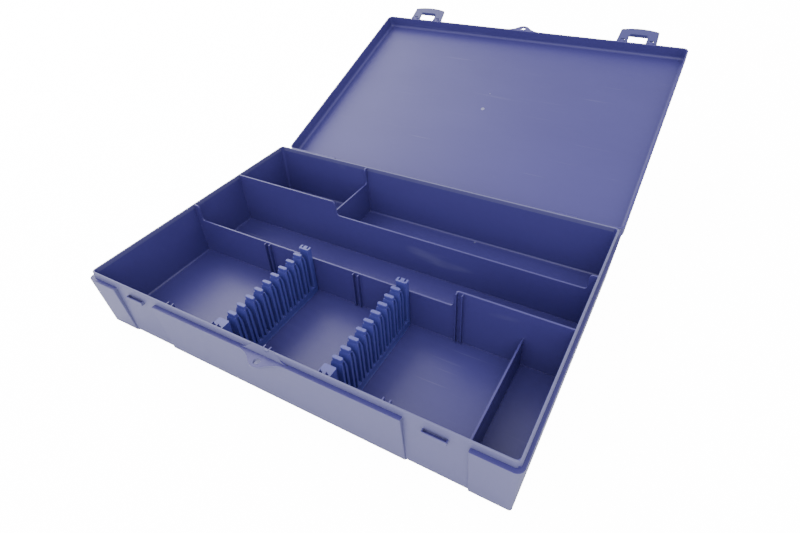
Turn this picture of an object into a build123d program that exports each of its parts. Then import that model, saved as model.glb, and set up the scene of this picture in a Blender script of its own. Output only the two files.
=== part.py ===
from build123d import *
import os
from math import atan, atan2, cos, degrees, hypot, radians, sin, sqrt, tan

os.makedirs("parts", exist_ok=True)

# Knife case of moulded plastic: a divided tray, a hinged lid with two snap latches,
# and two toothed racks that drop over guide ribs in the front trough.
# The origin is the middle of the tray's flat underside, X along the length, Y to the rear, Z up.

# Tray
in_len = 457.0  # inside length at the rim
in_dep = 306.0  # inside depth at the rim
rim_z = 69.5  # rim above the table
floor_t = 2.5
lip_t = 2.0  # wall at the rim
in_rad = 4.0  # inside corner radius at the rim
lip_rad = 5.0  # lip's outer corner radius
in_draft = 1.2  # lean of the inside walls, degrees
out_draft = 1.3  # lean of the wall's outer face below the ledge, degrees
floor_bevel = 1.4  # bevel between floor and walls
foot_bevel = 1.8  # bevel round the underside
rim_bevel = 0.5  # bevels along both edges of the rim
lip_drop = 7.2  # height of the lip above the ledge

# Outer band, with the groove behind its top edge
band_out = 4.4  # band's face beyond the lip, front and rear
band_end = 3.1  # the same at the two ends
band_rad = 7.0  # band's outer corner radius
band_edge = 1.5  # wall of the band at the ledge
band_step = 1.3  # how far the band stands out from the recess face at the foot
groove_deep = 34.0

# Latch recesses and catches in the front
latch_inset = 68.6  # centre of each latch from the end of the case
recess_w = 56.0
recess_rad = 1.0  # edges between the recess and the band's face
catch_w = 21.5
catch_out = 3.6
catch_h = 3.7
catch_drop = 9.9  # top of the catch below the rim
catch_wall = 0.9  # walls round the catch's pocket
catch_pocket = 2.4  # depth of the pocket
pocket_sink = 0.3  # the pocket runs this far into the tray's wall

# Padlock tabs and the finger scoop above the lower one
tab_half = 26.0
tab_t = 2.5
tab_nose_r = 11.5
tab_reach = 10.9  # nose beyond the band's face
tab_hole_in = 5.8  # hole's centre behind the nose
tab_hole_r = 3.2
scoop_low = 26.5  # half width at the ledge
scoop_high = 13.5  # half width at the rim
scoop_deep = 0.9  # cut into the lip at the rim
scoop_fill = 1.8  # sloping face's foot, out from the lip at the ledge

# Dividers
div_t = 1.8
div_top = 0.4  # high parts of the dividers below the rim
front_div_y = 140.0  # front divider from the inside of the front wall
rear_div_y = 219.0
rear_cross_x = 140.5  # rear cross wall from the inside of the left wall
front_cross_x = 414.0
front_div_cut = 21.0
rear_div_cut = 19.0
rear_cross_cut = 22.6
front_cross_cut = 31.5
front_div_step_x = 338.0  # start of the rise near the right end
rear_div_step_x = 145.5  # start of the drop
sweep_w = 7.5  # width of the S-shaped drops

# Guide ribs
rib_xs = (-118.0, -60.0, 2.0, 60.0, 121.0)
rib_pitch = 6.2
rib_t = 1.2
rib_out = 3.6

# Lid
lid_h = 18.0
lid_t = 2.0
lid_draft = 1.5
lid_bevel = 2.4  # bevel round the lid's top
lid_in_rad = 3.5
seat_gap = 0.3
open_angle = 160.5  # from closed to the stop

# Rear hinges
hinge_inset = 68.6  # centre of each hinge from the end of the case
hinge_back = 5.8  # axis behind the band's face
hinge_drop = 3.0  # axis below the ledge
barrel_r = 3.8
knuckle_w = 16.0
ear_w = 8.0
side_gap = 0.4
pin_r = 1.5
run_gap = 0.1
press_gap = 0.02
ear_web = 15.0
arm_web = 11.0
stop_gap = 0.3
heel_h = 3.2

# Latches
latch_w = 54.0  # at the pivot
latch_tip_w = 51.0
latch_t = 2.2
latch_len = 22.5  # pivot to the middle of the curved edge
latch_side_len = 19.3  # pivot to the corners of that edge
window_w = 24.7
catch_gap = 0.3  # between the catch and the closed latch's hook
latch_tilt = 14.0  # inward lean of the closed latch
latch_swing = 90.0
pivot_out = 2.8  # pivot from the skirt's face
pivot_up = 1.5  # pivot above the skirt's free edge
trunnion_r = 1.5
lug_r = 2.4
lug_w = 5.0
lug_gap = 0.3
lug_mid = 19.3  # middle of each lug from the latch's centre
lug_web = 4.5
notch_deep = 4.0
arm_top = 2.1
hook_in = 3.0
hook_h = 2.6
hook_w = 22.0
grip_lip = 1.4  # height of the turned-out lip along the curved edge
grip_w = 1.5

# Knife racks
rack_xs = (-60.0, 60.0)
rack_w = 12.5
rack_drop = 5.7  # top of the racks below the rim
rack_teeth = 9
rack_pitch = 12.4
knife_slot = 4.4
bar_h = 8.8
foot_out = 0.6
foot_h = 1.0
front_lug = 13.0
rear_lug = 6.5
lug_bevel = 1.0
end_gap = 0.4
rack_lift = 0.2
cap_w = 10.6
cap_t = 4.2
cap_h = 4.0
cap_bevel = 1.3  # cap's upright corners
cap_edge = 0.4
shoulder_h = 14.0  # from the shoulder to the rack's top
flute_w = 2.6
flute_deep = 2.2

# Values that follow
ledge_z = rim_z - lip_drop
lip_len, lip_dep = in_len + 2 * lip_t, in_dep + 2 * lip_t
out_len, out_dep = lip_len + 2 * band_end, lip_dep + 2 * band_out
latch_x, hinge_x = out_len / 2 - latch_inset, out_len / 2 - hinge_inset
groove_w = band_out - band_edge
wall_foot = ledge_z * tan(radians(out_draft))
band_draft = degrees(atan((band_out + wall_foot - band_step) / ledge_z))
front_in, rear_in = -in_dep / 2, in_dep / 2
front_lip, band_y = -lip_dep / 2, -out_dep / 2
left_in, right_in = -in_len / 2, in_len / 2
front_div = front_in + front_div_y
rear_div = front_in + rear_div_y
rear_cross = left_in + rear_cross_x
front_cross = left_in + front_cross_x
div_top_z = rim_z - div_top
wall_sink = 1.0  # dividers and ribs run this far into the walls
floor_inset = (rim_z - floor_t) * tan(radians(in_draft))
skirt_z = ledge_z + seat_gap
hinge_y = -band_y + hinge_back
hinge_z = ledge_z - hinge_drop
hinge_axis = Axis((0, hinge_y, hinge_z), (1, 0, 0))
pivot_y = band_y - pivot_out
pivot_z = skirt_z + pivot_up
pivot_axis = Axis((0, pivot_y, pivot_z), (1, 0, 0))
catch_top = rim_z - catch_drop
catch_low = catch_top - catch_h
tilt_sin, tilt_cos = sin(radians(latch_tilt)), cos(radians(latch_tilt))
latch_heel = pivot_out - stop_gap


def facing_down(z):
    return Plane(origin=(0, 0, z), x_dir=(1, 0, 0), z_dir=(0, 0, -1))


def tangent(px, py, cx, cy, r, side):
    """Point where a line from (px, py) touches the circle, on the chosen side."""
    dx, dy = px - cx, py - cy
    dist = hypot(dx, dy)
    turn = atan2(sqrt(dist * dist - r * r), r)
    a = atan2(dy, dx) + side * turn
    return cx + r * cos(a), cy + r * sin(a)


def web_outline(cy, cz, r, face_y, low_z, high_z):
    """Circle joined to a wall's face by two tangent lines, drawn as (Y, Z)."""
    side = 1 if face_y < cy else -1
    top = tangent(face_y, high_z, cy, cz, r, -side)
    low = tangent(face_y, low_z, cy, cz, r, side)
    far = (cy + side * r, cz)
    return (face_y, low_z), low, far, top, (face_y, high_z)


def web_face(plane, centre, r, face_y, low_z, high_z, bore):
    """Bored lug on a wall: a circle joined to the wall's face by two tangent lines."""
    start, low, far, top, end = web_outline(*centre, r, face_y, low_z, high_z)
    with BuildSketch(plane) as lug:
        with BuildLine():
            Line(start, low)
            ThreePointArc(low, far, top)
            Line(top, end)
            Line(end, start)
        make_face()
        with Locations(centre):
            Circle(bore, mode=Mode.SUBTRACT)
    return lug.sketch


def arm_face(plane):
    """Arm of the lid's knuckle: level over the ledge, then down and round the hinge's axis."""
    face_y, level, high = -band_y - 0.5 * lid_t, skirt_z + 0.4, skirt_z + arm_web
    turn_y = -band_y + 0.8
    low = tangent(turn_y, level, hinge_y, hinge_z, barrel_r, 1)
    top = tangent(face_y, high, hinge_y, hinge_z, barrel_r, -1)
    under = (hinge_y + 0.5 * barrel_r, hinge_z - sqrt(0.75) * barrel_r)
    with BuildSketch(plane) as arm:
        with BuildLine():
            Line((face_y, level), (turn_y, level))
            Line((turn_y, level), low)
            ThreePointArc(low, under, top)
            Line(top, (face_y, high))
            Line((face_y, high), (face_y, level))
        make_face()
        with Locations((hinge_y, hinge_z)):
            Circle(pin_r + run_gap, mode=Mode.SUBTRACT)
    return arm.sketch


def tab_face(plane, face_y, half, root):
    """Padlock tab: a bell outline from the front face out to a round nose, with its hole."""
    nose_y = band_y - tab_reach
    ny = nose_y + tab_nose_r
    h = face_y - ny
    flare = (half * half + h * h - tab_nose_r * tab_nose_r) / (2 * (tab_nose_r + h))
    cx, cy = half, face_y - flare
    d = hypot(cx, cy - ny)
    tx, ty = tab_nose_r * cx / d, ny + tab_nose_r * (cy - ny) / d
    bend = atan2(ty - cy, tx - cx) % radians(360)
    mid_a = (radians(90) + bend) / 2
    mx, my = cx + flare * cos(mid_a), cy + flare * sin(mid_a)
    with BuildSketch(plane) as tab:
        with BuildLine():
            Line((-half, face_y + root), (-half, face_y))
            ThreePointArc((-half, face_y), (-mx, my), (-tx, ty))
            ThreePointArc((-tx, ty), (0, nose_y), (tx, ty))
            ThreePointArc((tx, ty), (mx, my), (half, face_y))
            Line((half, face_y), (half, face_y + root))
            Line((half, face_y + root), (-half, face_y + root))
        make_face()
        with Locations((0, nose_y + tab_hole_in)):
            Circle(tab_hole_r, mode=Mode.SUBTRACT)
    return tab.sketch


def heel_face(plane):
    """Stop heel of the lid's knuckle, which meets the tray's rear face when the lid is open."""
    reach = hinge_back + hinge_drop * tan(radians(band_draft)) - stop_gap
    a = radians(open_angle)
    corners = (
        (0, 0.5 * barrel_r), (-0.9 * barrel_r, 0.5 * barrel_r), (-reach, 0),
        (-reach, -heel_h), (-0.5 * barrel_r, -heel_h),
    )
    turned = [
        (hinge_y + y * cos(a) - z * sin(a), hinge_z + y * sin(a) + z * cos(a)) for y, z in corners
    ]
    with BuildSketch(plane) as heel:
        with BuildLine():
            Polyline(*turned, close=True)
        make_face()
        with Locations((hinge_y, hinge_z)):
            Circle(pin_r + run_gap, mode=Mode.SUBTRACT)
    return heel.sketch


# Inside of the tray, used to hollow it out
with BuildPart() as cavity:
    with BuildSketch(facing_down(rim_z)):
        RectangleRounded(in_len, in_dep, in_rad)
    extrude(amount=rim_z - floor_t, taper=in_draft)
    chamfer(cavity.faces().sort_by(Axis.Z)[0].edges(), length=floor_bevel)

# Tray's wall as a solid block: upright lip above the ledge, leaning wall below it
with BuildPart() as wall_block:
    with BuildSketch(facing_down(ledge_z)):
        RectangleRounded(lip_len, lip_dep, lip_rad)
    extrude(amount=ledge_z, taper=out_draft)
    chamfer(wall_block.faces().sort_by(Axis.Z)[0].edges(), length=foot_bevel)
    with BuildSketch(Plane.XY.offset(ledge_z)):
        RectangleRounded(lip_len, lip_dep, lip_rad)
    extrude(amount=lip_drop)

# Groove behind the band's edge, left solid beside each latch recess
with BuildPart() as groove:
    with BuildSketch(facing_down(ledge_z)):
        RectangleRounded(out_len - 2 * band_edge, out_dep - 2 * band_edge, band_rad - band_edge)
    extrude(amount=groove_deep, taper=band_draft)
    with BuildSketch(Plane.XY.offset(ledge_z)):
        with Locations((-latch_x, band_y), (latch_x, band_y)):
            Rectangle(recess_w + 2 * band_edge, 4 * band_out)
    extrude(amount=-groove_deep, mode=Mode.SUBTRACT)
    ends = (
        groove.edges()
        .filter_by(lambda e: e.center().Y < front_lip and e.length < 1.1 * groove_deep)
        .filter_by(lambda e: abs(e.tangent_at(0.5).Z) > 0.9)
        .filter_by(lambda e: abs(abs(abs(e.center().X) - latch_x) - recess_w / 2 - band_edge) < 0.1)
    )
    fillet(ends, radius=0.4 * groove_w)


def scoop_face(plane):
    """Finger scoop seen from the front: narrow at the rim, flaring to the ledge."""
    with BuildSketch(plane) as bell:
        with BuildLine():
            Line((-scoop_low, ledge_z), (scoop_low, ledge_z))
            TangentArc((scoop_low, ledge_z), (scoop_high, rim_z), tangent=(-1, 0))
            Line((scoop_high, rim_z), (-scoop_high, rim_z))
            TangentArc((-scoop_low, ledge_z), (-scoop_high, rim_z), tangent=(1, 0))
        make_face()
    return bell.sketch


with BuildPart() as scoop_cut:
    extrude(scoop_face(Plane.XZ.offset(-front_lip - scoop_deep)), amount=scoop_deep + scoop_fill)

# Wedge with the scoop's outline, whose face slopes from the cut at the rim down over the groove
with BuildPart() as scoop_slope:
    extrude(scoop_face(Plane.XZ.offset(-front_lip - scoop_deep)), amount=scoop_deep + scoop_fill)
    with BuildSketch(Plane.YZ.offset(-scoop_low)):
        with BuildLine():
            Polyline(
                (front_lip + scoop_deep, rim_z + 1), (front_lip + scoop_deep, rim_z),
                (front_lip - scoop_fill, ledge_z), (front_lip - scoop_fill - 1, ledge_z),
                (front_lip - scoop_fill - 1, rim_z + 1), close=True,
            )
        make_face()
    extrude(amount=2 * scoop_low, mode=Mode.SUBTRACT)

# Base tray
with BuildPart() as base_tray:
    with BuildSketch(facing_down(ledge_z)):
        RectangleRounded(out_len, out_dep, band_rad)
    extrude(amount=ledge_z, taper=band_draft)
    chamfer(base_tray.faces().sort_by(Axis.Z)[0].edges(), length=foot_bevel)
    add(groove.part, mode=Mode.SUBTRACT)
    # Latch recesses, open below and above
    with BuildSketch(Plane.XY):
        with Locations((-latch_x, band_y), (latch_x, band_y)):
            Rectangle(recess_w, 4 * band_out)
    extrude(amount=ledge_z, mode=Mode.SUBTRACT)
    sides = (
        base_tray.edges()
        .filter_by(lambda e: e.length > 0.8 * ledge_z and e.center().Y < front_lip)
        .filter_by(lambda e: abs(abs(abs(e.center().X) - latch_x) - recess_w / 2) < 0.1)
    )
    fillet(sides, radius=recess_rad)
    add(wall_block.part)
    # Padlock tab level with the ledge
    extrude(tab_face(Plane.XY.offset(ledge_z - tab_t), band_y, tab_half, 0.6 * band_edge), amount=tab_t)
    # Catches in the recesses
    for x in (-latch_x, latch_x):
        with BuildSketch(Plane.YZ.offset(x - catch_w / 2)):
            with BuildLine():
                Polyline(
                    (front_lip + wall_sink, catch_top),
                    (front_lip - catch_out + 0.5 * catch_wall, catch_top),
                    (front_lip - catch_out, catch_top - 0.5 * catch_wall),
                    (front_lip - catch_out, catch_low),
                    (front_lip + wall_sink, catch_low),
                    close=True,
                )
            make_face()
        extrude(amount=catch_w)
        with BuildSketch(Plane.XY.offset(catch_top)):
            with Locations((x, front_lip + pocket_sink)):
                Rectangle(
                    catch_w - 2 * catch_wall, catch_out - catch_wall + pocket_sink,
                    align=(Align.CENTER, Align.MAX),
                )
        extrude(amount=-catch_pocket, mode=Mode.SUBTRACT)
    add(cavity.part, mode=Mode.SUBTRACT)
    chamfer(base_tray.faces().sort_by(Axis.Z)[-1].edges(), length=rim_bevel)
    # Finger scoop above the tab: the lip is cut back at the rim, and a face slopes out from there
    add(scoop_cut.part, mode=Mode.SUBTRACT)
    add(scoop_slope.part)

    # Front divider, cut low between a short shoulder on the left and the rise on the right
    with BuildSketch(Plane.XZ.offset(-front_div - div_t / 2)):
        with BuildLine():
            low = rim_z - front_div_cut
            a0, a1 = left_in + 3.5, left_in + 3.5 + sweep_w
            b0, b1 = left_in + front_div_step_x, left_in + front_div_step_x + 1.4 * sweep_w
            Line((left_in - wall_sink, div_top_z), (a0, div_top_z))
            Spline((a0, div_top_z), (a1, low), tangents=[(1, 0), (1, 0)])
            Line((a1, low), (b0, low))
            Spline((b0, low), (b1, div_top_z), tangents=[(1, 0), (1, 0)])
            Line((b1, div_top_z), (right_in + wall_sink, div_top_z))
            Line((right_in + wall_sink, div_top_z), (right_in + wall_sink - floor_inset, 0.5 * floor_t))
            Line(
                (right_in + wall_sink - floor_inset, 0.5 * floor_t),
                (left_in - wall_sink + floor_inset, 0.5 * floor_t),
            )
            Line((left_in - wall_sink + floor_inset, 0.5 * floor_t), (left_in - wall_sink, div_top_z))
        make_face()
    extrude(amount=div_t)
    # Rear divider, high beside the small bin and low behind the long trough
    with BuildSketch(Plane.XZ.offset(-rear_div - div_t / 2)):
        with BuildLine():
            low = rim_z - rear_div_cut
            a0, a1 = left_in + rear_div_step_x, left_in + rear_div_step_x + 1.4 * sweep_w
            b1 = right_in - 3.5
            b0 = b1 - sweep_w
            Line((left_in - wall_sink, div_top_z), (a0, div_top_z))
            Spline((a0, div_top_z), (a1, low), tangents=[(1, 0), (1, 0)])
            Line((a1, low), (b0, low))
            Spline((b0, low), (b1, div_top_z), tangents=[(1, 0), (1, 0)])
            Line((b1, div_top_z), (right_in + wall_sink, div_top_z))
            Line((right_in + wall_sink, div_top_z), (right_in + wall_sink - floor_inset, 0.5 * floor_t))
            Line(
                (right_in + wall_sink - floor_inset, 0.5 * floor_t),
                (left_in - wall_sink + floor_inset, 0.5 * floor_t),
            )
            Line((left_in - wall_sink + floor_inset, 0.5 * floor_t), (left_in - wall_sink, div_top_z))
        make_face()
    extrude(amount=div_t)
    # Rear cross wall, from the rear divider to the rear wall
    with BuildSketch(Plane.YZ.offset(rear_cross - div_t / 2)):
        with BuildLine():
            low = rim_z - rear_cross_cut
            c1 = rear_in - 2.5
            c0 = c1 - 0.6 * sweep_w
            Line((rear_div, 0.5 * floor_t), (rear_div, low))
            Line((rear_div, low), (c0, low))
            Spline((c0, low), (c1, div_top_z), tangents=[(1, 0), (1, 0)])
            Line((c1, div_top_z), (rear_in + wall_sink, div_top_z))
            Line((rear_in + wall_sink, div_top_z), (rear_in + wall_sink - floor_inset, 0.5 * floor_t))
            Line((rear_in + wall_sink - floor_inset, 0.5 * floor_t), (rear_div, 0.5 * floor_t))
        make_face()
    extrude(amount=div_t)
    # Low cross wall at the right of the front trough
    with BuildSketch(Plane.YZ.offset(front_cross - div_t / 2)):
        with BuildLine():
            low = rim_z - front_cross_cut
            lean = front_cross_cut * tan(radians(in_draft))
            Polyline(
                (front_in - wall_sink + lean, low),
                (front_div, low),
                (front_div, 0.5 * floor_t),
                (front_in - wall_sink + floor_inset, 0.5 * floor_t),
                close=True,
            )
        make_face()
    extrude(amount=div_t)
    # Guide rib pairs on the front wall and on the front divider
    for x in rib_xs:
        high = x > left_in + front_div_step_x
        rear_top = div_top_z - 0.8 if high else rim_z - front_div_cut - 0.8
        with BuildSketch(Plane.XY.offset(0.5 * floor_t)):
            with Locations(*[(x + k * rib_pitch / 2, front_in - wall_sink) for k in (-1, 1)]):
                Rectangle(rib_t, rib_out + wall_sink, align=(Align.CENTER, Align.MIN))
        extrude(amount=div_top_z - 0.8 - 0.5 * floor_t)
        with BuildSketch(Plane.XY.offset(0.5 * floor_t)):
            with Locations(*[(x + k * rib_pitch / 2, front_div) for k in (-1, 1)]):
                Rectangle(rib_t, rib_out + div_t / 2, align=(Align.CENTER, Align.MAX))
        extrude(amount=rear_top - 0.5 * floor_t)
    # Rear hinge brackets, two ears at each hinge
    for x in (-hinge_x, hinge_x):
        for side in (-1, 1):
            inner = x + side * (knuckle_w / 2 + side_gap)
            first = inner if side > 0 else inner - ear_w
            ear = web_face(
                Plane.YZ.offset(first), (hinge_y, hinge_z), barrel_r, -band_y - 0.5 * band_edge,
                hinge_z - ear_web, hinge_z + 0.6 * hinge_drop, pin_r + press_gap,
            )
            extrude(ear, amount=ear_w)
base_tray.part.label = "base_tray"

# Lid, drawn closed
with BuildPart() as lid_closed:
    with BuildSketch(Plane.XY.offset(skirt_z)):
        RectangleRounded(out_len, out_dep, band_rad)
    extrude(amount=lid_h, taper=lid_draft)
    chamfer(lid_closed.faces().sort_by(Axis.Z)[-1].edges(), length=lid_bevel)
    with BuildSketch(Plane.XY.offset(skirt_z)):
        RectangleRounded(out_len - 2 * lid_t, out_dep - 2 * lid_t, band_rad - lid_t)
    extrude(amount=lid_h - lid_t, taper=lid_draft, mode=Mode.SUBTRACT)
    fillet(lid_closed.faces().filter_by(Axis.Z).sort_by(Axis.Z)[-2].edges(), radius=lid_in_rad)
    # Padlock tab over the tray's tab
    extrude(tab_face(Plane.XY.offset(skirt_z), band_y, tab_half, 0.5 * lid_t), amount=tab_t)
    # Lugs that carry the latches, bored for their trunnions and slotted to snap over them
    for x in (-latch_x, latch_x):
        for side in (-1, 1):
            lug = web_face(
                Plane.YZ.offset(x + side * lug_mid - lug_w / 2), (pivot_y, pivot_z), lug_r,
                band_y + 0.5 * lid_t, skirt_z, pivot_z + lug_web, trunnion_r + run_gap,
            )
            extrude(lug, amount=lug_w)
    # Hinge knuckles, with arms over the ledge and stop heels
    for x in (-hinge_x, hinge_x):
        side_plane = Plane.YZ.offset(x - knuckle_w / 2)
        extrude(arm_face(side_plane), amount=knuckle_w)
        extrude(heel_face(side_plane), amount=knuckle_w)

# Lid in its open position, leaning back on its stop heels
with BuildPart() as lid:
    add(lid_closed.part.rotate(hinge_axis, -open_angle))
lid.part.label = "lid"


def make_latch(x):
    """One latch: two arms with trunnions, the bar with its hook rib, and the grip."""
    # The closed latch leans inward, so its hook's top is drawn sloping to lie level under the catch
    drop = pivot_z - catch_low + catch_gap
    z_bar = pivot_z - (drop + 0.5 * latch_t * tilt_sin) / tilt_cos
    z_hook_in = z_bar - hook_in * tilt_sin / tilt_cos
    with BuildPart() as hanging:
        with BuildSketch(Plane.XZ.offset(-pivot_y - latch_t / 2)):
            with BuildLine():
                z_top, z_side = pivot_z + arm_top, pivot_z - latch_side_len
                Line((x - latch_w / 2, z_top), (x + latch_w / 2, z_top))
                Line((x + latch_w / 2, z_top), (x + latch_tip_w / 2, z_side))
                ThreePointArc(
                    (x + latch_tip_w / 2, z_side), (x, pivot_z - latch_len), (x - latch_tip_w / 2, z_side)
                )
                Line((x - latch_tip_w / 2, z_side), (x - latch_w / 2, z_top))
            make_face()
            with BuildLine():
                w = window_w / 2
                Polyline(
                    (x - w, z_top + 1), (x - w, z_bar), (x + w, z_bar), (x + w, z_top + 1), close=True,
                )
            make_face(mode=Mode.SUBTRACT)
            for side in (-1, 1):
                with BuildLine():
                    n = lug_w / 2 + lug_gap
                    m = x + side * lug_mid
                    Polyline(
                        (m - n, z_top + 1), (m - n, pivot_z - notch_deep),
                        (m + n, pivot_z - notch_deep), (m + n, z_top + 1), close=True,
                    )
                make_face(mode=Mode.SUBTRACT)
        extrude(amount=latch_t)
        corners = hanging.edges().filter_by(Axis.Y).sort_by(Axis.Z)[0:2]
        fillet(corners, radius=2.0)
        # Barrels round the pivot, their stop heels, and the trunnions across the notches
        for side in (-1, 1):
            for a, b in (
                (window_w / 2, lug_mid - lug_w / 2 - lug_gap),
                (lug_mid + lug_w / 2 + lug_gap, latch_w / 2 - 0.2),
            ):
                first = x + a if side > 0 else x - b
                with BuildSketch(Plane.YZ.offset(first)):
                    with Locations((pivot_y, pivot_z)):
                        Circle(arm_top)
                        Rectangle(
                            latch_heel, latch_heel, rotation=-latch_tilt, align=(Align.MAX, Align.MIN)
                        )
                extrude(amount=b - a)
            with BuildSketch(Plane.YZ.offset(x + side * lug_mid - lug_w / 2 - lug_gap)):
                with Locations((pivot_y, pivot_z)):
                    Circle(trunnion_r)
            extrude(amount=lug_w + 2 * lug_gap)
        # Hook rib under the bar, and the turned-out lip of the grip
        inner = pivot_y + latch_t / 2
        with BuildSketch(Plane.YZ.offset(x - hook_w / 2)):
            with BuildLine():
                Polyline(
                    (inner - 0.5 * latch_t, z_bar), (inner, z_bar), (inner + hook_in, z_hook_in),
                    (inner + hook_in, z_hook_in - 0.3 * hook_h), (inner, z_bar - hook_h),
                    (inner - 0.5 * latch_t, z_bar - hook_h), close=True,
                )
            make_face()
        extrude(amount=hook_w)
        with BuildSketch(Plane.XZ.offset(-inner + 0.6 * latch_t)):
            with BuildLine():
                sag = latch_len - latch_side_len
                bow = ((latch_tip_w / 2) ** 2 + sag**2) / (2 * sag)
                z_bow = pivot_z - latch_len + bow
                r_low, r_high = bow - 0.3, bow - 0.3 - grip_w
                tip = latch_tip_w / 2 - 3.0
                z_low, z_high = (z_bow - sqrt(r * r - tip * tip) for r in (r_low, r_high))
                ThreePointArc((x - tip, z_low), (x, z_bow - r_low), (x + tip, z_low))
                Line((x + tip, z_low), (x + tip, z_high))
                ThreePointArc((x + tip, z_high), (x, z_bow - r_high), (x - tip, z_high))
                Line((x - tip, z_high), (x - tip, z_low))
            make_face()
        extrude(amount=0.4 * latch_t + grip_lip)
    return hanging.part.rotate(pivot_axis, latch_tilt - latch_swing).rotate(hinge_axis, -open_angle)


with BuildPart() as latch_left:
    add(make_latch(-latch_x))
latch_left.part.label = "latch_left"

with BuildPart() as latch_right:
    add(make_latch(latch_x))
latch_right.part.label = "latch_right"

# Knife rack: one tooth, then the bar with its end lugs and the row of teeth
tooth_y = rack_pitch - knife_slot
rack_z0 = floor_t + rack_lift
rack_top = rim_z - rack_drop
shoulder_z = rack_top - shoulder_h
arch_z = rack_top - cap_h
rack_front = front_in + end_gap
rack_rear = front_div - div_t / 2 - end_gap
row_mid = (rack_front + front_lug + rack_rear - rear_lug) / 2


def arch_face(plane, wide, narrow):
    """Tooth seen from one side: straight up, then arched in to the cap's width."""
    with BuildSketch(plane) as arch:
        with BuildLine():
            Line((-wide / 2, rack_z0), (wide / 2, rack_z0))
            Line((wide / 2, rack_z0), (wide / 2, shoulder_z))
            TangentArc((wide / 2, shoulder_z), (narrow / 2, arch_z), tangent=(0, 1))
            Line((narrow / 2, arch_z), (-narrow / 2, arch_z))
            TangentArc((-wide / 2, shoulder_z), (-narrow / 2, arch_z), tangent=(0, 1))
            Line((-wide / 2, shoulder_z), (-wide / 2, rack_z0))
        make_face()
    return arch.sketch


with BuildPart() as tooth:
    extrude(arch_face(Plane.XZ, rack_w, cap_w), amount=tooth_y / 2, both=True)
    extrude(arch_face(Plane.YZ, tooth_y, cap_t), amount=rack_w / 2, both=True, mode=Mode.INTERSECT)
    # Flutes down both wide faces
    with BuildSketch(Plane.XY.offset(rack_z0 + bar_h)):
        with Locations((-rack_w / 2, 0), (rack_w / 2, 0)):
            Rectangle(2 * flute_deep, flute_w)
    extrude(amount=arch_z - rack_z0 - bar_h, mode=Mode.SUBTRACT)
    # Narrow cap
    with BuildSketch(Plane.XY.offset(arch_z)) as cap:
        Rectangle(cap_w, cap_t)
        chamfer(cap.vertices(), length=cap_bevel)
    extrude(amount=cap_h)
    chamfer(tooth.faces().sort_by(Axis.Z)[-1].edges(), length=cap_edge)


def make_rack(x):
    with BuildPart() as rack:
        # Bar along the floor with a thin foot
        with BuildSketch(Plane.XY.offset(rack_z0)):
            with Locations((x, (rack_front + rack_rear) / 2)):
                Rectangle(rack_w, rack_rear - rack_front - 2 * lug_bevel)
        extrude(amount=bar_h)
        with BuildSketch(Plane.XY.offset(rack_z0)):
            with Locations((x, row_mid)):
                Rectangle(rack_w + 2 * foot_out, rack_teeth * rack_pitch)
        extrude(amount=foot_h)
        # End lugs, each with two slots that straddle the guide ribs
        slot = rib_t + 0.7
        for y, side, lug in ((rack_front, 1, front_lug), (rack_rear, -1, rear_lug)):
            with BuildSketch(Plane.XY.offset(rack_z0)) as post:
                with Locations((x, y + side * lug / 2)):
                    Rectangle(rack_w, lug)
                chamfer(post.vertices(), length=lug_bevel)
            extrude(amount=rack_top - rack_z0)
            with BuildSketch(Plane.XY.offset(rack_z0)):
                with Locations(*[(x + k * rib_pitch / 2, y) for k in (-1, 1)]):
                    Rectangle(slot, 2 * (rib_out + 0.6))
            extrude(amount=rack_top - rack_z0, mode=Mode.SUBTRACT)
        # Front end leans with the wall
        with BuildSketch(Plane.YZ.offset(x - rack_w)):
            with BuildLine():
                Polyline(
                    (rack_front - 1, rim_z + 1), (rack_front, rim_z + 1), (rack_front, rim_z),
                    (rack_front + floor_inset, floor_t + floor_bevel + 0.6),
                    (rack_front + floor_inset + floor_bevel + 0.6, floor_t),
                    (rack_front - 1, floor_t - 1), close=True,
                )
            make_face()
        extrude(amount=2 * rack_w, mode=Mode.SUBTRACT)
        row = [(x, row_mid + (i - (rack_teeth - 1) / 2) * rack_pitch, 0) for i in range(rack_teeth)]
        with Locations(*row):
            add(tooth.part)
    return rack.part


with BuildPart() as rack_left:
    add(make_rack(rack_xs[0]))
rack_left.part.label = "rack_left"

with BuildPart() as rack_right:
    add(make_rack(rack_xs[1]))
rack_right.part.label = "rack_right"

# Hinge pins
pin_len = knuckle_w + 2 * side_gap + 2 * ear_w - 1.0


def make_pin(x):
    with BuildPart() as pin:
        with BuildSketch(Plane.YZ.offset(x - pin_len / 2)):
            with Locations((hinge_y, hinge_z)):
                Circle(pin_r)
        extrude(amount=pin_len)
    return pin.part


with BuildPart() as hinge_pin_left:
    add(make_pin(-hinge_x))
hinge_pin_left.part.label = "hinge_pin_left"

with BuildPart() as hinge_pin_right:
    add(make_pin(hinge_x))
hinge_pin_right.part.label = "hinge_pin_right"

for piece in (
    base_tray, lid, latch_left, latch_right, rack_left, rack_right, hinge_pin_left, hinge_pin_right,
):
    export_step(piece.part, f"parts/{piece.part.label}.step")
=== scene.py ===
# %% [markdown]
# # A moulded knife case, dressed for its photograph
# The case is already built as solids: a divided tray, a lid on two hinge pins, two snap latches and two toothed
# racks. Here those solids get their finish, a few small moulded details, a floor, soft light and a camera. We work in
# metres, in the solids' own frame, so nothing has to be fitted by eye.

# %% Load the frame
import bpy
from math import radians
from mathutils import Euler, Matrix, Vector


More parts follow.
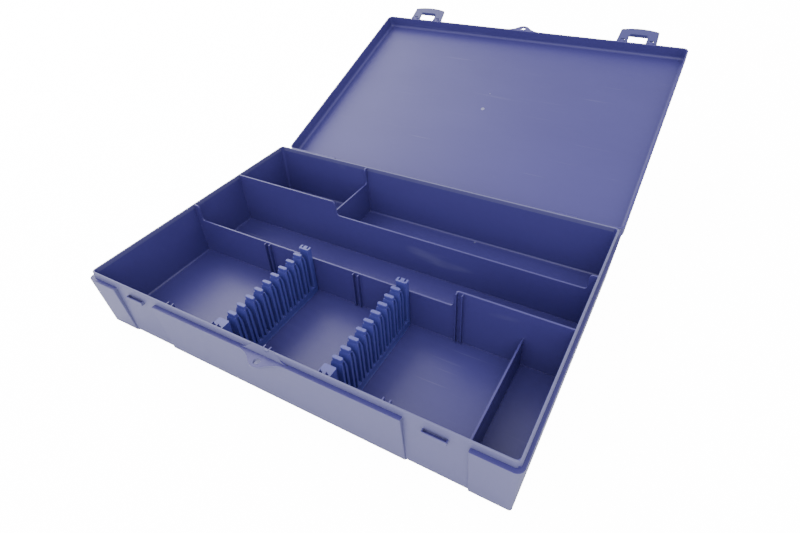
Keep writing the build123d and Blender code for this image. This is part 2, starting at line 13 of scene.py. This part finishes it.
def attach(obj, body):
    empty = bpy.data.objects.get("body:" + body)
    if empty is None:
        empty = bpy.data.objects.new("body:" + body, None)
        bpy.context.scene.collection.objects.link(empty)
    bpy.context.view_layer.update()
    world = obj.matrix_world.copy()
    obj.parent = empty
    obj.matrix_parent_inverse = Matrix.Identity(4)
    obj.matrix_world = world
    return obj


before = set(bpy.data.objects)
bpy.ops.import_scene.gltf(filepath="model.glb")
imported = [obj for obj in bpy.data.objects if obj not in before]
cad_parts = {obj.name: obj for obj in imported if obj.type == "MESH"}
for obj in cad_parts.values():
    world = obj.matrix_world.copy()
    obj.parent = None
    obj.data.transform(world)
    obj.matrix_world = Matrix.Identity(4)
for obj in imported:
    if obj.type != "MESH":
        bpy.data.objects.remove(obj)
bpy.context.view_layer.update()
print("nodes:", sorted(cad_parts))

# %% [markdown]
# ## Camera
# A wide lens stands close to the case, over its front right corner. Its place, turn and focal length were worked out
# from the straight edges of the tray's rim, so the picture's perspective matches with no shift at all.

# %% Place the camera
CAMERA_SPOT = (0.2671, -0.3613, 0.4077)
CAMERA_TURN = (50.837, 2.331, 29.362)
LENS_MM = 24.102

lens = bpy.data.cameras.new("camera")
lens.sensor_width = 36.0
lens.lens = LENS_MM
lens.clip_start, lens.clip_end = 0.01, 20
camera = bpy.data.objects.new("camera", lens)
camera.location = CAMERA_SPOT
camera.rotation_euler = Euler([radians(a) for a in CAMERA_TURN], "XYZ")
bpy.context.scene.collection.objects.link(camera)
bpy.context.scene.camera = camera
print("camera at", CAMERA_SPOT, "lens", LENS_MM, "mm")

# %% [markdown]
# ## Node helpers
# A shader node is easier to read when it is made, set and wired in one line. These small helpers do only that.

# %% Helpers for nodes
FLOAT, COLOR, VECTOR = "NodeSocketFloat", "NodeSocketColor", "NodeSocketVector"


def feed(tree, socket, value):
    """Wires a socket to another one, or sets it to a plain value."""
    if isinstance(value, bpy.types.NodeSocket):
        tree.links.new(value, socket)
    else:
        socket.default_value = value


def add_node(tree, kind, values=None, **settings):
    """Adds a node, sets its own settings, and feeds its inputs."""
    node = tree.nodes.new(kind)
    for name, value in settings.items():
        setattr(node, name, value)
    for name, value in (values or {}).items():
        feed(tree, node.inputs[name], value)
    return node


def compute(tree, operation, *values, clamp=False):
    """A Math node; returns its result."""
    node = add_node(tree, "ShaderNodeMath", dict(enumerate(values)), operation=operation, use_clamp=clamp)
    return node.outputs[0]


def remap(tree, value, low, high, to_low=0.0, to_high=1.0):
    """A Map Range node; returns its result."""
    node = add_node(tree, "ShaderNodeMapRange", {
        "Value": value, "From Min": low, "From Max": high, "To Min": to_low, "To Max": to_high,
    })
    return node.outputs[0]


def mix_color(tree, factor, first, second):
    """A colour Mix node; returns its result. Its colour sockets are the seventh and eighth."""
    node = add_node(tree, "ShaderNodeMix", {0: factor, 6: first, 7: second}, data_type="RGBA")
    return node.outputs[2]


def noise(tree, vector, scale, detail=2.0, roughness=0.5):
    """A Noise node; returns its grey value."""
    node = add_node(tree, "ShaderNodeTexNoise", {
        "Vector": vector, "Scale": scale, "Detail": detail, "Roughness": roughness,
    })
    return node.outputs["Fac"]


def object_place(tree):
    """Where a point is on the piece itself, in metres."""
    return add_node(tree, "ShaderNodeTexCoord").outputs["Object"]


def new_group(name, inputs, outputs):
    """Makes an empty shader group with named sockets, and returns its tree, its input node and its output node."""
    tree = bpy.data.node_groups.new(name, "ShaderNodeTree")
    for label, kind, value in inputs:
        tree.interface.new_socket(name=label, in_out="INPUT", socket_type=kind).default_value = value
    for label, kind in outputs:
        tree.interface.new_socket(name=label, in_out="OUTPUT", socket_type=kind)
    return tree, tree.nodes.new("NodeGroupInput"), tree.nodes.new("NodeGroupOutput")


def new_material(name):
    """Makes a material with nodes, and returns it, its tree and its Principled shader."""
    material = bpy.data.materials.new(name)
    material.use_nodes = True
    return material, material.node_tree, material.node_tree.nodes["Principled BSDF"]


def past_outline(tree, spot, half_x, half_y):
    """How far a point lies outside an upright box round the origin; below zero inside it."""
    past_x = compute(tree, "SUBTRACT", compute(tree, "ABSOLUTE", spot.outputs["X"]), half_x)
    past_y = compute(tree, "SUBTRACT", compute(tree, "ABSOLUTE", spot.outputs["Y"]), half_y)
    return compute(tree, "MAXIMUM", past_x, past_y)


def camera_glow(tree, strength):
    """A strength that counts only for what the camera sees straight on, not for the light that falls on the case."""
    return compute(tree, "MULTIPLY", add_node(tree, "ShaderNodeLightPath").outputs["Is Camera Ray"], strength)


print("helpers ready")

# %% [markdown]
# ## Moulded skin
# Polypropylene copies the steel mould it is pressed against. The mould is lightly spark-eroded, which leaves a fine,
# even pebble, and the melt leaves broad, faint waves as it cools. One group gives both as a height, and a roughness
# that wanders a little with them.

# %% Group: moulded skin
skin, skin_in, skin_out = new_group(
    "moulded_skin",
    [("Grain", FLOAT, 1400.0), ("Waves", FLOAT, 9.0), ("Roughness", FLOAT, 0.42), ("Spread", FLOAT, 0.08)],
    [("Height", FLOAT), ("Roughness", FLOAT)],
)
pebble = noise(skin, object_place(skin), skin_in.outputs["Grain"], 3.0, 0.55)
wave = noise(skin, object_place(skin), skin_in.outputs["Waves"], 2.0, 0.4)
feed(skin, skin_out.inputs["Height"], compute(skin, "MULTIPLY_ADD", wave, 6.0, pebble))
wander = compute(skin, "SUBTRACT", compute(skin, "ADD", wave, pebble), 1.0)
feed(skin, skin_out.inputs["Roughness"],
     compute(skin, "MULTIPLY_ADD", wander, skin_in.outputs["Spread"], skin_in.outputs["Roughness"]))
print("group", skin.name, "with", len(skin.nodes), "nodes")

# %% [markdown]
# ## Edge rub
# Edges are where a case is touched. They are never quite sharp, and the colour is a little paler there, where the
# skin is rubbed. A Bevel node looks round each corner: where its normal differs from the surface's own, there is an
# edge. A noise breaks the rub up, so it doesn't run along every edge like a painted line.

# %% Group: edge rub
rub, rub_in, rub_out = new_group(
    "edge_rub", [("Radius", FLOAT, 0.0006), ("Reach", FLOAT, 1.0)], [("Mask", FLOAT), ("Normal", VECTOR)],
)
rounded = add_node(rub, "ShaderNodeBevel", {"Radius": rub_in.outputs["Radius"]}, samples=6)
flat = add_node(rub, "ShaderNodeNewGeometry")
agree = add_node(
    rub, "ShaderNodeVectorMath", {0: rounded.outputs["Normal"], 1: flat.outputs["Normal"]}, operation="DOT_PRODUCT",
)
turned = compute(rub, "MULTIPLY", compute(rub, "SUBTRACT", 1.0, agree.outputs["Value"]), rub_in.outputs["Reach"])
broken = remap(rub, noise(rub, object_place(rub), 60.0, 4.0), 0.3, 0.6)
feed(rub, rub_out.inputs["Mask"], compute(rub, "MULTIPLY", turned, broken, clamp=True))
feed(rub, rub_out.inputs["Normal"], rounded.outputs["Normal"])
print("group", rub.name, "with", len(rub.nodes), "nodes")

# %% [markdown]
# ## Flow tint
# Pigment never mixes perfectly: the plastic is a shade lighter or darker in broad clouds, drawn out along the way the
# melt ran, which here is the length of the case.

# %% Group: flow tint
tint, tint_in, tint_out = new_group(
    "flow_tint",
    [("Dark", COLOR, (0, 0, 0, 1)), ("Light", COLOR, (1, 1, 1, 1)), ("Scale", FLOAT, 5.0)],
    [("Color", COLOR)],
)
drawn_out = add_node(tint, "ShaderNodeMapping", {"Vector": object_place(tint), "Scale": (0.6, 1.5, 1.5)})
cloud = remap(tint, noise(tint, drawn_out.outputs[0], tint_in.outputs["Scale"], 5.0, 0.6), 0.3, 0.7)
feed(tint, tint_out.inputs["Color"], mix_color(tint, cloud, tint_in.outputs["Dark"], tint_in.outputs["Light"]))
print("group", tint.name, "with", len(tint.nodes), "nodes")

# %% [markdown]
# ## Scuffs
# Handling leaves a few hair-thin scuffs, all nearly straight. Stretching a noise along one direction and keeping only
# its peaks gives them; a second, coarse noise keeps them to a few patches.

# %% Group: scuffs
scuff, scuff_in, scuff_out = new_group(
    "scuffs", [("Turn", VECTOR, (0, 0, 0)), ("Amount", FLOAT, 1.0)], [("Mask", FLOAT)],
)
stretched = add_node(scuff, "ShaderNodeMapping", {
    "Vector": object_place(scuff), "Rotation": scuff_in.outputs["Turn"], "Scale": (8.0, 260.0, 40.0),
})
peaks = remap(scuff, noise(scuff, stretched.outputs[0], 1.0), 0.66, 0.74)
patches = remap(scuff, noise(scuff, object_place(scuff), 11.0), 0.42, 0.6)
few = compute(scuff, "MULTIPLY", peaks, patches)
feed(scuff, scuff_out.inputs["Mask"], compute(scuff, "MULTIPLY", few, scuff_in.outputs["Amount"], clamp=True))
print("group", scuff.name, "with", len(scuff.nodes), "nodes")

# %% [markdown]
# ## Outer skin, with painted sheen
# The tray's outside is moulded as if against a coarser, matt steel, so its skin is rougher than the inside. It is also
# painted paler there: a painted sheen, standing in for the bright room that its upright faces and the lip's top
# mirror.
# The mask is 1 beyond the rim's middle line and 0 inside it: a box test on the place of each point. The walls lean in
# towards the foot, so the line moves in with them. Below the lip only upright faces count, so that ledge and tab stay
# smooth and blue; the lip counts with its whole top.

# %% Group: outside mask
RIM_HALF_X, RIM_HALF_Y, RIM_Z = 0.2295, 0.1540, 0.0695
WALL_LEAN, LIP_FOOT_Z, LIP_TOP_WIDTH = 0.0218, 0.0640, 0.0012
STEP_SOFT = 0.0005
outside, outside_in, outside_out = new_group("outside_sheen_mask", [("Soft", FLOAT, 0.0004)], [("Mask", FLOAT)])
spot = add_node(outside, "ShaderNodeSeparateXYZ", {0: object_place(outside)})
leaned = compute(outside, "MULTIPLY", compute(outside, "SUBTRACT", RIM_Z, spot.outputs["Z"]), WALL_LEAN)
beyond = compute(outside, "ADD", past_outline(outside, spot, RIM_HALF_X, RIM_HALF_Y), leaned)
on_lip = remap(outside, spot.outputs["Z"], LIP_FOOT_Z, LIP_FOOT_Z + STEP_SOFT)
beyond = compute(outside, "MULTIPLY_ADD", on_lip, LIP_TOP_WIDTH, beyond)
past_rim = compute(outside, "DIVIDE", beyond, outside_in.outputs["Soft"], clamp=True)
facing = add_node(outside, "ShaderNodeSeparateXYZ", {0: add_node(outside, "ShaderNodeTexCoord").outputs["Normal"]})
upright = remap(outside, compute(outside, "ABSOLUTE", facing.outputs["Z"]), 0.35, 0.8, 1.0, 0.0)
# This mask marks where a sheen is painted: the upright outer faces and the lip's top, which mirror the bright room.
feed(outside, outside_out.inputs["Mask"],
     compute(outside, "MULTIPLY", past_rim, compute(outside, "MAXIMUM", upright, on_lip)))
print("group", outside.name, "with", len(outside.nodes), "nodes")

# %% [markdown]
# The lid's outside is taken to be as matt as the tray's, and is painted the same paler colour as the tray's painted
# sheen;
# the photograph shows only its inside. The lid is drawn open, so each point is first turned back to the closed lid,
# where the same kind of box test works.

# %% Group: lid outside mask
HINGE = Vector((0.0, 0.1652, 0.0593))
OPEN_ANGLE = radians(160.5)
LID_HALF_X, LID_HALF_Y, LID_PANEL_Z, LID_RIM_Z = 0.2324, 0.1582, 0.0798, 0.0635
lid_outside, lid_outside_in, lid_outside_out = new_group(
    "lid_outside_sheen_mask", [("Soft", FLOAT, 0.0003)], [("Mask", FLOAT)],
)
closed = add_node(lid_outside, "ShaderNodeVectorRotate", {
    "Vector": object_place(lid_outside), "Center": HINGE, "Angle": OPEN_ANGLE,
}, rotation_type="X_AXIS")
lid_spot = add_node(lid_outside, "ShaderNodeSeparateXYZ", {0: closed.outputs[0]})
past_panel = compute(lid_outside, "SUBTRACT", lid_spot.outputs["Z"], LID_PANEL_Z)
past_any = compute(
    lid_outside, "MAXIMUM", past_outline(lid_outside, lid_spot, LID_HALF_X, LID_HALF_Y), past_panel,
)
past_box = compute(lid_outside, "DIVIDE", past_any, lid_outside_in.outputs["Soft"], clamp=True)
off_rim = remap(lid_outside, lid_spot.outputs["Z"], LID_RIM_Z, LID_RIM_Z + STEP_SOFT)
# This mask carries the tray's painted sheen over to the lid's outside.
feed(lid_outside, lid_outside_out.inputs["Mask"], compute(lid_outside, "MULTIPLY", past_box, off_rim))
print("group", lid_outside.name, "with", len(lid_outside.nodes), "nodes")

# %% [markdown]
# ## Plastics
# Tray, lid, racks and latches come from different moulds but from the same pigment, so one function makes all four
# finishes, each with its own tone and gloss. The layers go on in this order: pigment, the matt outside with its
# painted sheen where there is one, the rubbed edges, the scuffs.

# %% Plastic materials
PALE = (0.30, 0.31, 0.46, 1)
# The paler colour that the outer masks mix in is a painted sheen, not a colour of the plastic.
OUTER_SHEEN_COLOR = (0.150, 0.150, 0.285, 1)
PLASTIC_IOR = 1.49
OUTER_SHEEN_SHARE, RUB_SHARE, SCUFF_SHARE = 0.75, 0.35, 0.22
DRY_ROUGHER, SCUFF_ROUGHER = 0.10, 0.12
RELIEF_HEIGHT = 0.0002


def use_group(tree, group, values=None):
    """Puts a group into a tree and feeds it."""
    return add_node(tree, "ShaderNodeGroup", values, node_tree=group)


def moulded_plastic(name, dark, light, roughness, grain, bump, scuffing, turn, rub_radius=0.0005, outer_sheen_mask=None):
    """One moulded finish; the tones and the last numbers are what tell the mouldings apart."""
    material, tree, shader = new_material(name)
    shader.inputs["IOR"].default_value = PLASTIC_IOR
    skin_node = use_group(tree, skin, {"Grain": grain, "Waves": 7.0, "Roughness": roughness, "Spread": 0.10})
    rub_node = use_group(tree, rub, {"Radius": rub_radius, "Reach": 1.2})
    scuff_node = use_group(tree, scuff, {"Turn": turn, "Amount": scuffing})
    color = use_group(tree, tint, {"Dark": dark, "Light": light, "Scale": 4.0}).outputs["Color"]
    rough = skin_node.outputs["Roughness"]
    if outer_sheen_mask:
        outer = use_group(tree, outer_sheen_mask).outputs["Mask"]
        # Painted sheen: the outer mask mixes the paler colour into the pigment, and makes the skin a little rougher.
        color = mix_color(tree, compute(tree, "MULTIPLY", outer, OUTER_SHEEN_SHARE), color, OUTER_SHEEN_COLOR)
        rough = compute(tree, "MULTIPLY_ADD", outer, DRY_ROUGHER, rough)
    color = mix_color(tree, compute(tree, "MULTIPLY", rub_node.outputs["Mask"], RUB_SHARE), color, PALE)
    color = mix_color(tree, compute(tree, "MULTIPLY", scuff_node.outputs["Mask"], SCUFF_SHARE), color, PALE)
    feed(tree, shader.inputs["Base Color"], color)
    feed(tree, shader.inputs["Roughness"],
         compute(tree, "MULTIPLY_ADD", scuff_node.outputs["Mask"], SCUFF_ROUGHER, rough, clamp=True))
    relief = add_node(tree, "ShaderNodeBump", {
        "Strength": bump, "Distance": RELIEF_HEIGHT, "Height": skin_node.outputs["Height"],
        "Normal": rub_node.outputs["Normal"],
    })
    feed(tree, shader.inputs["Normal"], relief.outputs[0])
    return material


TRAY_DARK, TRAY_LIGHT = (0.044, 0.036, 0.180, 1), (0.053, 0.045, 0.206, 1)
RACK_DARK, RACK_LIGHT = (0.050, 0.051, 0.255, 1), (0.060, 0.062, 0.290, 1)
LATCH_DARK, LATCH_LIGHT = (0.044, 0.042, 0.170, 1), (0.052, 0.051, 0.195, 1)
tray_plastic = moulded_plastic(
    "tray_plastic", TRAY_DARK, TRAY_LIGHT, 0.38, 1500, 0.25, 0.5, (0, 0, 0.3), outer_sheen_mask=outside,
)
lid_plastic = moulded_plastic(
    "lid_plastic", TRAY_DARK, TRAY_LIGHT, 0.47, 1500, 0.22, 0.35, (0.3, 0, 0.6), outer_sheen_mask=lid_outside,
)
rack_plastic = moulded_plastic("rack_plastic", RACK_DARK, RACK_LIGHT, 0.36, 1800, 0.2, 0.2, (0, 0.4, 0), 0.0004)
latch_plastic = moulded_plastic(
    "latch_plastic", LATCH_DARK, LATCH_LIGHT, 0.40, 1800, 0.2, 0.6, (0.4, 0, 0.2), 0.0004,
)
print("plastics:", tray_plastic.name, lid_plastic.name, rack_plastic.name, latch_plastic.name)

# %% [markdown]
# ## Gate scars
# Where the melt was shot in, the runner is broken off and leaves a small rough scar, paler than the skin round it. It
# is the same plastic, so it needs only a paler tone, a coarse noise for its roughness and a strong bump.

# %% Scar material
gate_scar, scar, scar_shader = new_material("gate_scar")
torn = noise(scar, object_place(scar), 1800.0, 4.0, 0.7)
feed(scar, scar_shader.inputs["Base Color"],
     mix_color(scar, remap(scar, torn, 0.35, 0.65), (0.10, 0.10, 0.24, 1), (0.32, 0.32, 0.48, 1)))
feed(scar, scar_shader.inputs["Roughness"], remap(scar, torn, 0.2, 0.8, 0.35, 0.75))
scar_relief = add_node(scar, "ShaderNodeBump", {"Strength": 0.9, "Distance": 0.0004, "Height": torn})
feed(scar, scar_shader.inputs["Normal"], scar_relief.outputs[0])
print("scar finish:", gate_scar.name)

# %% [markdown]
# ## Steel of the hinge pins
# The pins are cut from drawn rod: bright, with fine lines along the rod, so the noise is squeezed across it.

# %% Steel material
pin_steel, steel, steel_shader = new_material("pin_steel")
steel_shader.inputs["Metallic"].default_value = 1.0
along_rod = add_node(steel, "ShaderNodeMapping", {"Vector": object_place(steel), "Scale": (20.0, 2500.0, 2500.0)})
drawn = noise(steel, along_rod.outputs[0], 1.0, 3.0)
feed(steel, steel_shader.inputs["Roughness"], remap(steel, drawn, 0.0, 1.0, 0.2, 0.42))
feed(steel, steel_shader.inputs["Base Color"],
     mix_color(steel, drawn, (0.46, 0.46, 0.48, 1), (0.62, 0.62, 0.64, 1)))
steel_relief = add_node(steel, "ShaderNodeBump", {"Strength": 0.2, "Distance": 0.00005, "Height": drawn})
feed(steel, steel_shader.inputs["Normal"], steel_relief.outputs[0])
print("steel:", pin_steel.name)

# %% [markdown]
# ## Finish on the solids
# The solids keep their meshes. Each gets its finish in its own material slot.

# %% Dress the solids
FINISHES = {
    "base_tray": tray_plastic, "lid": lid_plastic,
    "rack_left": rack_plastic, "rack_right": rack_plastic,
    "latch_left": latch_plastic, "latch_right": latch_plastic,
    "hinge_pin_left": pin_steel, "hinge_pin_right": pin_steel,
}
for name, finish in FINISHES.items():
    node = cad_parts[name]
    if not node.data.materials:
        node.data.materials.append(finish)
    for slot in node.material_slots:
        slot.material = finish
print("dressed", len(FINISHES), "solids")

# %% [markdown]
# ## Ledge
# The lid's skirt comes down on a ledge that runs round the tray, between the upright lip and the face of the outer
# band. It is a flat rounded frame, so we draw two rounded rectangles, bridge them, and give the frame its thickness.

# %% Sizes of the ledge
LEDGE_Z = 0.0623
LIP_X, LIP_Y, LIP_RADIUS = 0.4610, 0.3100, 0.0050
EDGE_X, EDGE_Y, EDGE_RADIUS = 0.4646, 0.3162, 0.0056
LEDGE_SINK = 0.00008
LEDGE_THICK = 0.0012
CORNER_STEPS = 6
LATCH_X, RECESS_HALF = 0.165, 0.0295
FRONT_SIDE = -0.14
print("ledge at", LEDGE_Z, "m, open for", 2 * RECESS_HALF, "m at each latch")

# %% Helpers for modelling
def select_by(piece, kind, test):
    """Selects the faces or edges whose middle passes a test; the piece stays in edit mode."""
    bpy.ops.object.mode_set(mode="OBJECT")
    mesh = piece.data
    for group in (mesh.polygons, mesh.edges, mesh.vertices):
        group.foreach_set("select", [False] * len(group))
    for item in (mesh.polygons if kind == "FACE" else mesh.edges):
        corners = [mesh.vertices[i].co for i in item.vertices]
        item.select = test(sum(corners, Vector()) / len(corners))
    bpy.ops.object.mode_set(mode="EDIT")
    bpy.ops.mesh.select_mode(type=kind)


def rounded_outline(width, depth, radius):
    """Turns the selected unit square into the outline of a rounded rectangle, with no face."""
    bpy.ops.transform.resize(value=(width, depth, 1.0), center_override=(0, 0, 0))
    bpy.ops.mesh.bevel(offset=radius, segments=CORNER_STEPS, affect="VERTICES")
    bpy.ops.mesh.delete(type="ONLY_FACE")


def finish_piece(piece, name, material, body):
    """Leaves edit mode, turns the faces outwards, and hands the piece to its body."""
    bpy.ops.mesh.select_all(action="SELECT")
    bpy.ops.mesh.remove_doubles(threshold=0.000001)
    bpy.ops.mesh.normals_make_consistent(inside=False)
    bpy.ops.object.mode_set(mode="OBJECT")
    piece.name = piece.data.name = name
    piece.data.materials.append(material)
    bpy.ops.object.shade_smooth_by_angle(angle=radians(35))
    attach(piece, body)
    print(name, "rides on", body, "with", len(piece.data.polygons), "faces")


# %% Ledge frame
bpy.ops.object.select_all(action="DESELECT")
bpy.ops.mesh.primitive_plane_add(size=1.0, location=(0, 0, 0))
ledge = bpy.context.object
bpy.ops.object.mode_set(mode="EDIT")
rounded_outline(EDGE_X, EDGE_Y, EDGE_RADIUS)
bpy.ops.mesh.select_all(action="DESELECT")
bpy.ops.mesh.primitive_plane_add(size=1.0, location=(0, 0, 0))
rounded_outline(LIP_X, LIP_Y, LIP_RADIUS)
bpy.ops.mesh.select_all(action="SELECT")
bpy.ops.mesh.bridge_edge_loops()
bpy.ops.mesh.select_all(action="SELECT")
bpy.ops.transform.translate(value=(0, 0, LEDGE_Z - LEDGE_SINK))

# %% Open the ledge at the latches and thicken it
for cut_x in (-LATCH_X - RECESS_HALF, -LATCH_X + RECESS_HALF, LATCH_X - RECESS_HALF, LATCH_X + RECESS_HALF):
    bpy.ops.mesh.select_all(action="SELECT")
    bpy.ops.mesh.bisect(plane_co=(cut_x, 0, 0), plane_no=(1, 0, 0))
for latch_x in (-LATCH_X, LATCH_X):
    select_by(ledge, "FACE", lambda c: c.y < FRONT_SIDE and abs(c.x - latch_x) < RECESS_HALF)
    bpy.ops.mesh.delete(type="FACE")
bpy.ops.mesh.select_all(action="SELECT")
bpy.ops.mesh.extrude_region_move(TRANSFORM_OT_translate={"value": (0, 0, -LEDGE_THICK)})
finish_piece(ledge, "ledge_top", tray_plastic, "base")

# %% [markdown]
# ## Thumb stop
# A small half-round stop hangs from the rim inside the finger scoop, right of the tab, so that a thumb finds the
# edge. It starts as a short cylinder lying front to back; bisecting it level with the rim leaves the half below.

# %% Thumb stop
STOP_SPOT = (0.0040, -0.15455, 0.0688)
bpy.ops.object.select_all(action="DESELECT")
bpy.ops.mesh.primitive_cylinder_add(
    vertices=32, radius=0.0021, depth=0.0016, location=STOP_SPOT, rotation=(radians(90), 0, 0),
)
stop = bpy.context.object
bpy.ops.object.transform_apply(location=True, rotation=True, scale=True)
bpy.ops.object.mode_set(mode="EDIT")
bpy.ops.mesh.select_all(action="SELECT")
bpy.ops.mesh.bisect(
    plane_co=(0, 0, STOP_SPOT[2] + 0.0004), plane_no=(0, 0, 1), clear_outer=True, use_fill=True,
)
select_by(stop, "EDGE", lambda c: c.y < STOP_SPOT[1] - 0.0007)
bpy.ops.mesh.bevel(offset=0.0004, segments=3, affect="EDGES")
finish_piece(stop, "thumb_stop", tray_plastic, "base")

# %% [markdown]
# ## Gate scars, the pieces
# Two scars sit near the middle of the lid's inside, and one on the floor of the rear trough. Each is a low button with
# a sunk, rounded top: a cylinder whose top is inset and pushed down. The lid's two are modelled on the closed lid,
# where its inside is level, and then turned with the lid about its hinge.

# %% Make the gate scars
OPEN_TURN = Matrix.Translation(HINGE) @ Matrix.Rotation(-OPEN_ANGLE, 4, "X") @ Matrix.Translation(-HINGE)


def gate_button(name, x, y, z, radius, height, body, placing=None, faces_down=False):
    """A low button with a sunk top, standing on a level face, or hanging from one."""
    bpy.ops.object.select_all(action="DESELECT")
    bpy.ops.mesh.primitive_cylinder_add(vertices=28, radius=radius, depth=2 * height, location=(x, y, z))
    button = bpy.context.object
    bpy.ops.object.transform_apply(location=True, rotation=True, scale=True)
    bpy.ops.object.mode_set(mode="EDIT")
    side = -1 if faces_down else 1
    select_by(button, "FACE", lambda c: side * (c.z - z) > 0.9 * height)
    bpy.ops.mesh.inset(thickness=0.45 * radius, depth=0)
    bpy.ops.transform.translate(value=(0, 0, -0.35 * side * height))
    select_by(button, "EDGE", lambda c: side * (c.z - z) > 0.9 * height)
    bpy.ops.mesh.bevel(offset=0.25 * height, segments=2, affect="EDGES")
    if placing:
        bpy.ops.object.mode_set(mode="OBJECT")
        button.data.transform(placing)
        bpy.ops.object.mode_set(mode="EDIT")
    finish_piece(button, name, gate_scar, body)


LID_INSIDE_Z = 0.0786
gate_button("lid_gate_scar", 0.0, 0.0, LID_INSIDE_Z, 0.0026, 0.00035, "lid", OPEN_TURN, True)
gate_button("lid_gate_nub", -0.0018, -0.0319, LID_INSIDE_Z, 0.0008, 0.0006, "lid", OPEN_TURN, True)
gate_button("trough_gate_nub", 0.0695, 0.1480, 0.0025, 0.0009, 0.0006, "base")

# %% [markdown]
# ## Floor
# The photograph is taken on a white sweep, so bright that floor and wall melt together and no shadow is left. The
# floor is a matt white sheet with the faintest cloud in its tone. It also glows, but to the camera alone: that washes
# its shadows out as in the photograph, and adds no light to the case.

# %% Floor
bpy.ops.object.select_all(action="DESELECT")
bpy.ops.mesh.primitive_plane_add(size=8.0, location=(0, 0, 0))
floor = bpy.context.object
floor.name = "floor"
floor_material, sweep, sweep_shader = new_material("floor_white")
feed(sweep, sweep_shader.inputs["Base Color"],
     mix_color(sweep, noise(sweep, object_place(sweep), 1.2), (0.88, 0.88, 0.89, 1), (0.90, 0.90, 0.905, 1)))
sweep_shader.inputs["Roughness"].default_value = 0.9
sweep_shader.inputs["Specular IOR Level"].default_value = 0.1
SWEEP_GLOW = 14.0
feed(sweep, sweep_shader.inputs["Emission Strength"], camera_glow(sweep, SWEEP_GLOW))
sweep_shader.inputs["Emission Color"].default_value = (1, 1, 1, 1)
floor.data.materials.append(floor_material)
print("floor is", tuple(floor.dimensions))

# %% [markdown]
# ## Light
# The room is a bright, plain studio. One very big window stands to the left and a little behind the case: it lies as
# a pale sheen on the floors of the tray, because a floor there mirrors it towards the camera. The room itself is a
# little dimmer overhead than low down, and has the floor's glow where the camera sees it.

# %% World
ROOM_LOW, ROOM_HIGH = 1.5, 1.35
world = bpy.data.worlds.new("white_room")
world.use_nodes = True
room = world.node_tree
direction = add_node(room, "ShaderNodeSeparateXYZ", {0: add_node(room, "ShaderNodeTexCoord").outputs["Generated"]})
climb = remap(room, direction.outputs["Z"], 0.1, 0.8, ROOM_LOW, ROOM_HIGH)
feed(room, room.nodes["Background"].inputs["Strength"], compute(room, "ADD", climb, camera_glow(room, SWEEP_GLOW)))
room.nodes["Background"].inputs["Color"].default_value = (0.97, 0.98, 1.0, 1)
bpy.context.scene.world = world

# %% Lamps
CASE_MIDDLE = Vector((0, 0, 0.05))


def soft_light(name, place, size, watts):
    """A square, white area lamp that looks at the middle of the case."""
    lamp = bpy.data.lights.new(name, "AREA")
    lamp.shape, lamp.size, lamp.energy = "SQUARE", size, watts
    holder = bpy.data.objects.new(name, lamp)
    holder.location = place
    holder.rotation_euler = (CASE_MIDDLE - Vector(place)).to_track_quat("-Z", "Y").to_euler()
    bpy.context.scene.collection.objects.link(holder)


soft_light("window", (-1.5, 0.7, 1.4), 1.8, 36)
soft_light("front_fill", (0.4, -1.6, 1.2), 1.4, 16)
print("floor, world and two lamps are in place")
